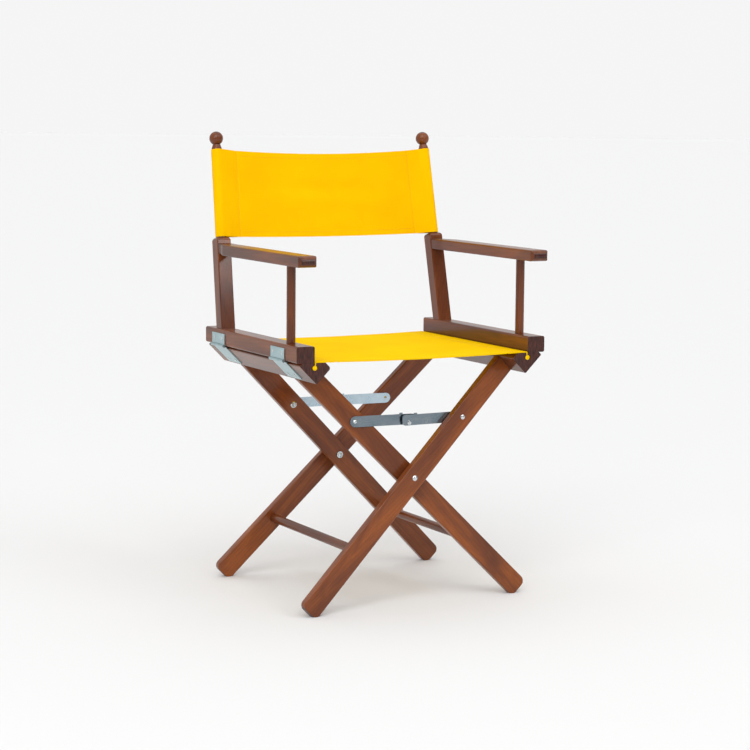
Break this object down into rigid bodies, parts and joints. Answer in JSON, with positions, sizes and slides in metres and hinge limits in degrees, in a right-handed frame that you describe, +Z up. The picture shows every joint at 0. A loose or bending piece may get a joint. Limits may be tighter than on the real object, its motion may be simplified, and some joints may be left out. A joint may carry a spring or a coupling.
{
  "type": "folding chair",
  "caption": "Folding wooden armchair with crossed legs, hinged arm frames, folding stays, and a canvas sling seat and back.",
  "frame": {"origin": "on the floor, below the middle of the open chair's bounding box", "axes": "+Z up, the sitter faces -Y, +X to the right as seen from the front"},
  "size_m": [0.527, 0.4574, 0.87],
  "materials": {
    "wood": "satin varnish",
    "canvas": "plain woven canvas",
    "zinc": "blue zinc plate",
    "rod": "bare"
  },
  "bodies": {
    "outer_frame": {"right_seat_rail": "wood", "right_seat_rod": "rod", "right_front_lower_leaf": "zinc", "right_rear_lower_leaf": "zinc", "right_front_hinge_pin": "zinc", "right_rear_hinge_pin": "zinc", "right_lower_hinge_screws": "zinc", "outer_leg_front": "wood", "outer_leg_rear": "wood", "outer_rung": "wood", "outer_stay_bolts": "zinc", "front_pivot_bolt": "zinc", "rear_pivot_bolt": "zinc", "front_pivot_nut": "zinc", "rear_pivot_nut": "zinc", "front_pivot_spacer": "zinc", "rear_pivot_spacer": "zinc", "seat_sling": "canvas"},
    "inner_frame": {"left_seat_rail": "wood", "left_seat_rod": "rod", "left_front_lower_leaf": "zinc", "left_rear_lower_leaf": "zinc", "left_front_hinge_pin": "zinc", "left_rear_hinge_pin": "zinc", "left_lower_hinge_screws": "zinc", "inner_leg_front": "wood", "inner_leg_rear": "wood", "inner_rung": "wood", "inner_stay_bolts": "zinc"},
    "right_arm_frame": {"right_arm_rail": "wood", "right_back_post": "wood", "right_armrest": "wood", "right_arm_post": "wood", "right_front_upper_leaf": "zinc", "right_rear_upper_leaf": "zinc", "right_upper_hinge_screws": "zinc", "back_sling": "canvas"},
    "left_arm_frame": {"left_arm_rail": "wood", "left_back_post": "wood", "left_armrest": "wood", "left_arm_post": "wood", "left_front_upper_leaf": "zinc", "left_rear_upper_leaf": "zinc", "left_upper_hinge_screws": "zinc"},
    "front_right_stay_link": {"front_right_stay": "zinc", "front_right_rivet_half": "zinc"},
    "front_left_stay_link": {"front_left_stay": "zinc", "front_left_rivet_half": "zinc"},
    "rear_right_stay_link": {"rear_right_stay": "zinc", "rear_right_rivet_half": "zinc"},
    "rear_left_stay_link": {"rear_left_stay": "zinc", "rear_left_rivet_half": "zinc"}
  },
  "joints": [
    {"name": "fold", "type": "hinge", "parent": "outer_frame", "child": "inner_frame", "pos_m": [0, 0, 0.2365], "axis": [0, 1, 0], "range_deg": [0, 80], "deforming": ["seat_sling", "back_sling"]},
    {"name": "right_arm_hinge", "type": "hinge", "parent": "outer_frame", "child": "right_arm_frame", "pos_m": [0.26059, 0, 0.46513], "axis": [0, 1, 0], "range_deg": [0, 40]},
    {"name": "left_arm_hinge", "type": "hinge", "parent": "inner_frame", "child": "left_arm_frame", "pos_m": [-0.26059, 0, 0.46513], "axis": [0, 1, 0], "range_deg": [-40, 0]},
    {"name": "front_right_stay_bolt", "type": "hinge", "parent": "outer_frame", "child": "front_right_stay_link", "pos_m": [0.10656, -0.15856, 0.34306], "axis": [-0.0585, 0.9966, -0.0585], "range_deg": [-40.6, 0]},
    {"name": "front_left_stay_bolt", "type": "hinge", "parent": "inner_frame", "child": "front_left_stay_link", "pos_m": [-0.10766, -0.15329, 0.34416], "axis": [0.0585, 0.9966, -0.0585], "range_deg": [0, 40.6]},
    {"name": "rear_right_stay_bolt", "type": "hinge", "parent": "outer_frame", "child": "rear_right_stay_link", "pos_m": [0.10656, 0.13576, 0.34306], "axis": [0.0585, 0.9966, 0.0585], "range_deg": [-40.6, 0]},
    {"name": "rear_left_stay_bolt", "type": "hinge", "parent": "inner_frame", "child": "rear_left_stay_link", "pos_m": [-0.10766, 0.13049, 0.34416], "axis": [-0.0585, 0.9966, 0.0585], "range_deg": [0, 40.6]}
  ],
  "couplings": [
    {"joint": "right_arm_hinge", "follows": "fold", "ratio": 0.5},
    {"joint": "left_arm_hinge", "follows": "fold", "ratio": -0.5},
    {"joint": "front_right_stay_bolt", "follows": "fold", "ratio": -0.5066},
    {"joint": "front_left_stay_bolt", "follows": "fold", "ratio": 0.5066},
    {"joint": "rear_right_stay_bolt", "follows": "fold", "ratio": -0.5066},
    {"joint": "rear_left_stay_bolt", "follows": "fold", "ratio": 0.5066}
  ]
}
